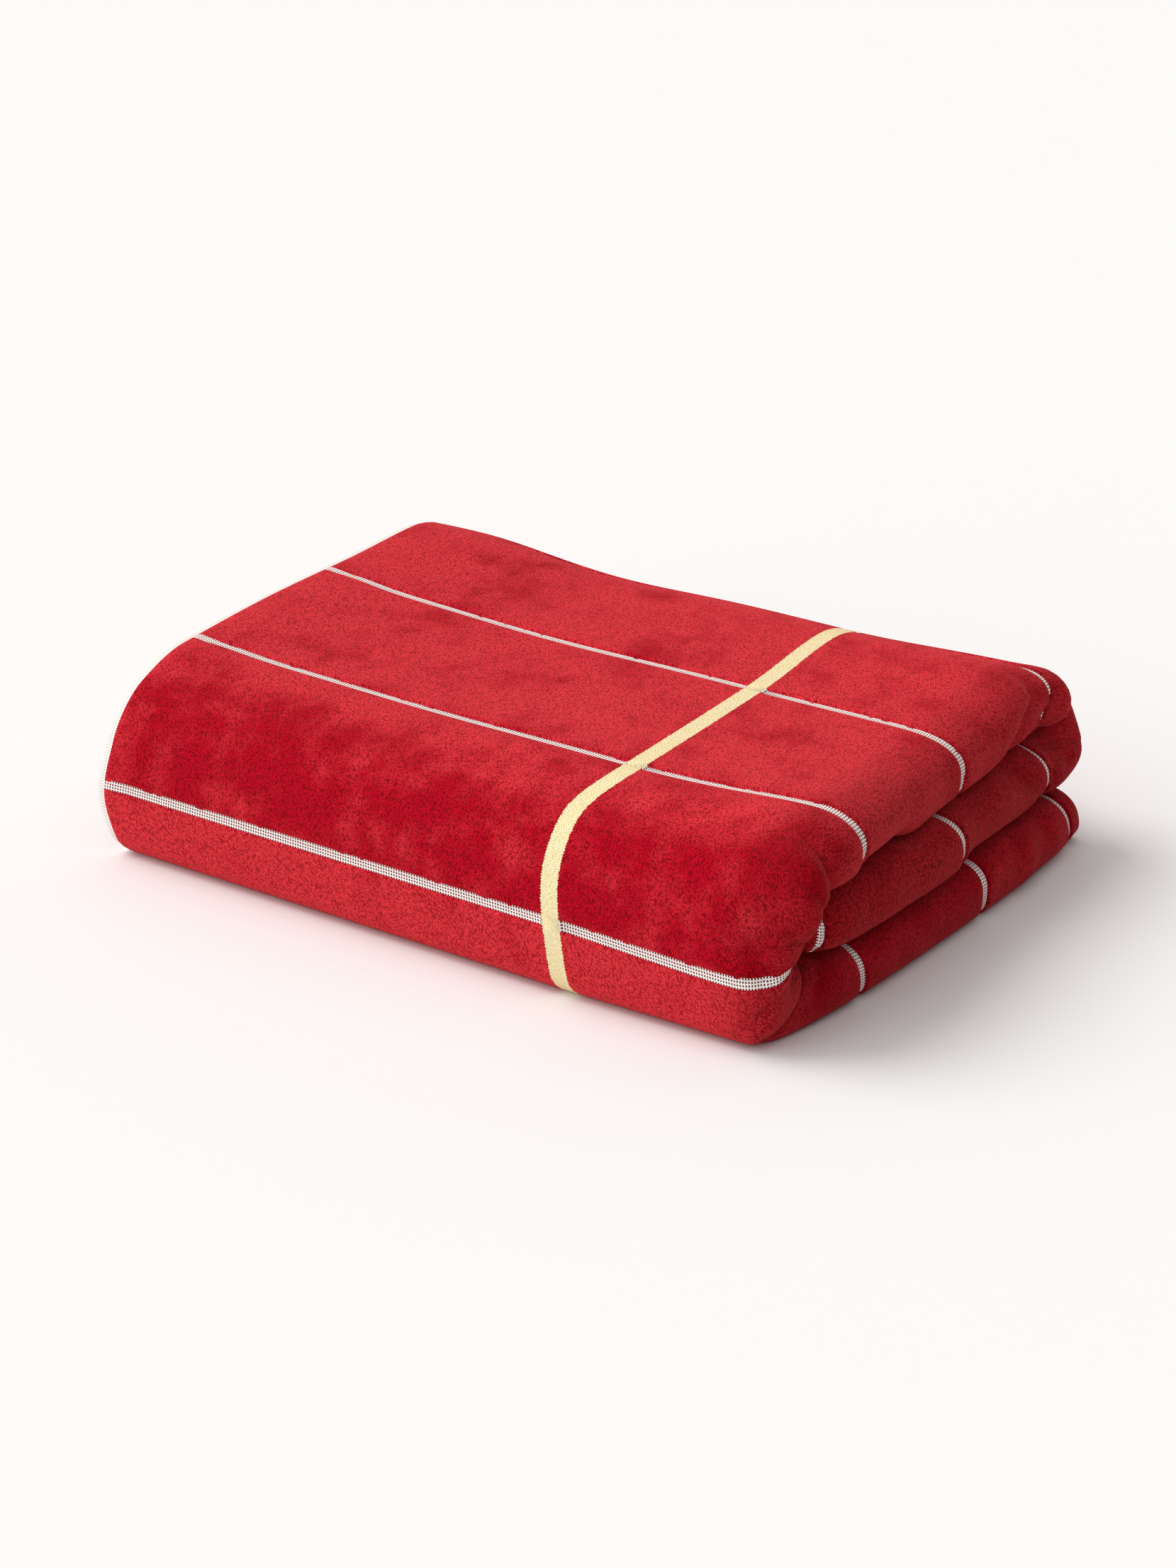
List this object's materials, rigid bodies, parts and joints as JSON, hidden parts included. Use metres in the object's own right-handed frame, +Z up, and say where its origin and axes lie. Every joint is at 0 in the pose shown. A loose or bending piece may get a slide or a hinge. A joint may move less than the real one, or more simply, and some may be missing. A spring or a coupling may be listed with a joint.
{
  "type": "beach towel",
  "caption": "Beach towel folded into a flat pack: four-layer band with a nested roll at one end, letter-folded in thirds.",
  "frame": {"origin": "middle of the pack's footprint, on the surface it lies on", "axes": "+X along the towel's length from the hems at the left end to the rolled folds at the right end, -Y towards the closed front fold, +Z up through the layers"},
  "size_m": [0.4014, 0.3008, 0.0947],
  "materials": {
    "towel": "cut pile velour"
  },
  "bodies": {
    "root": {"towel": "towel"}
  },
  "joints": []
}
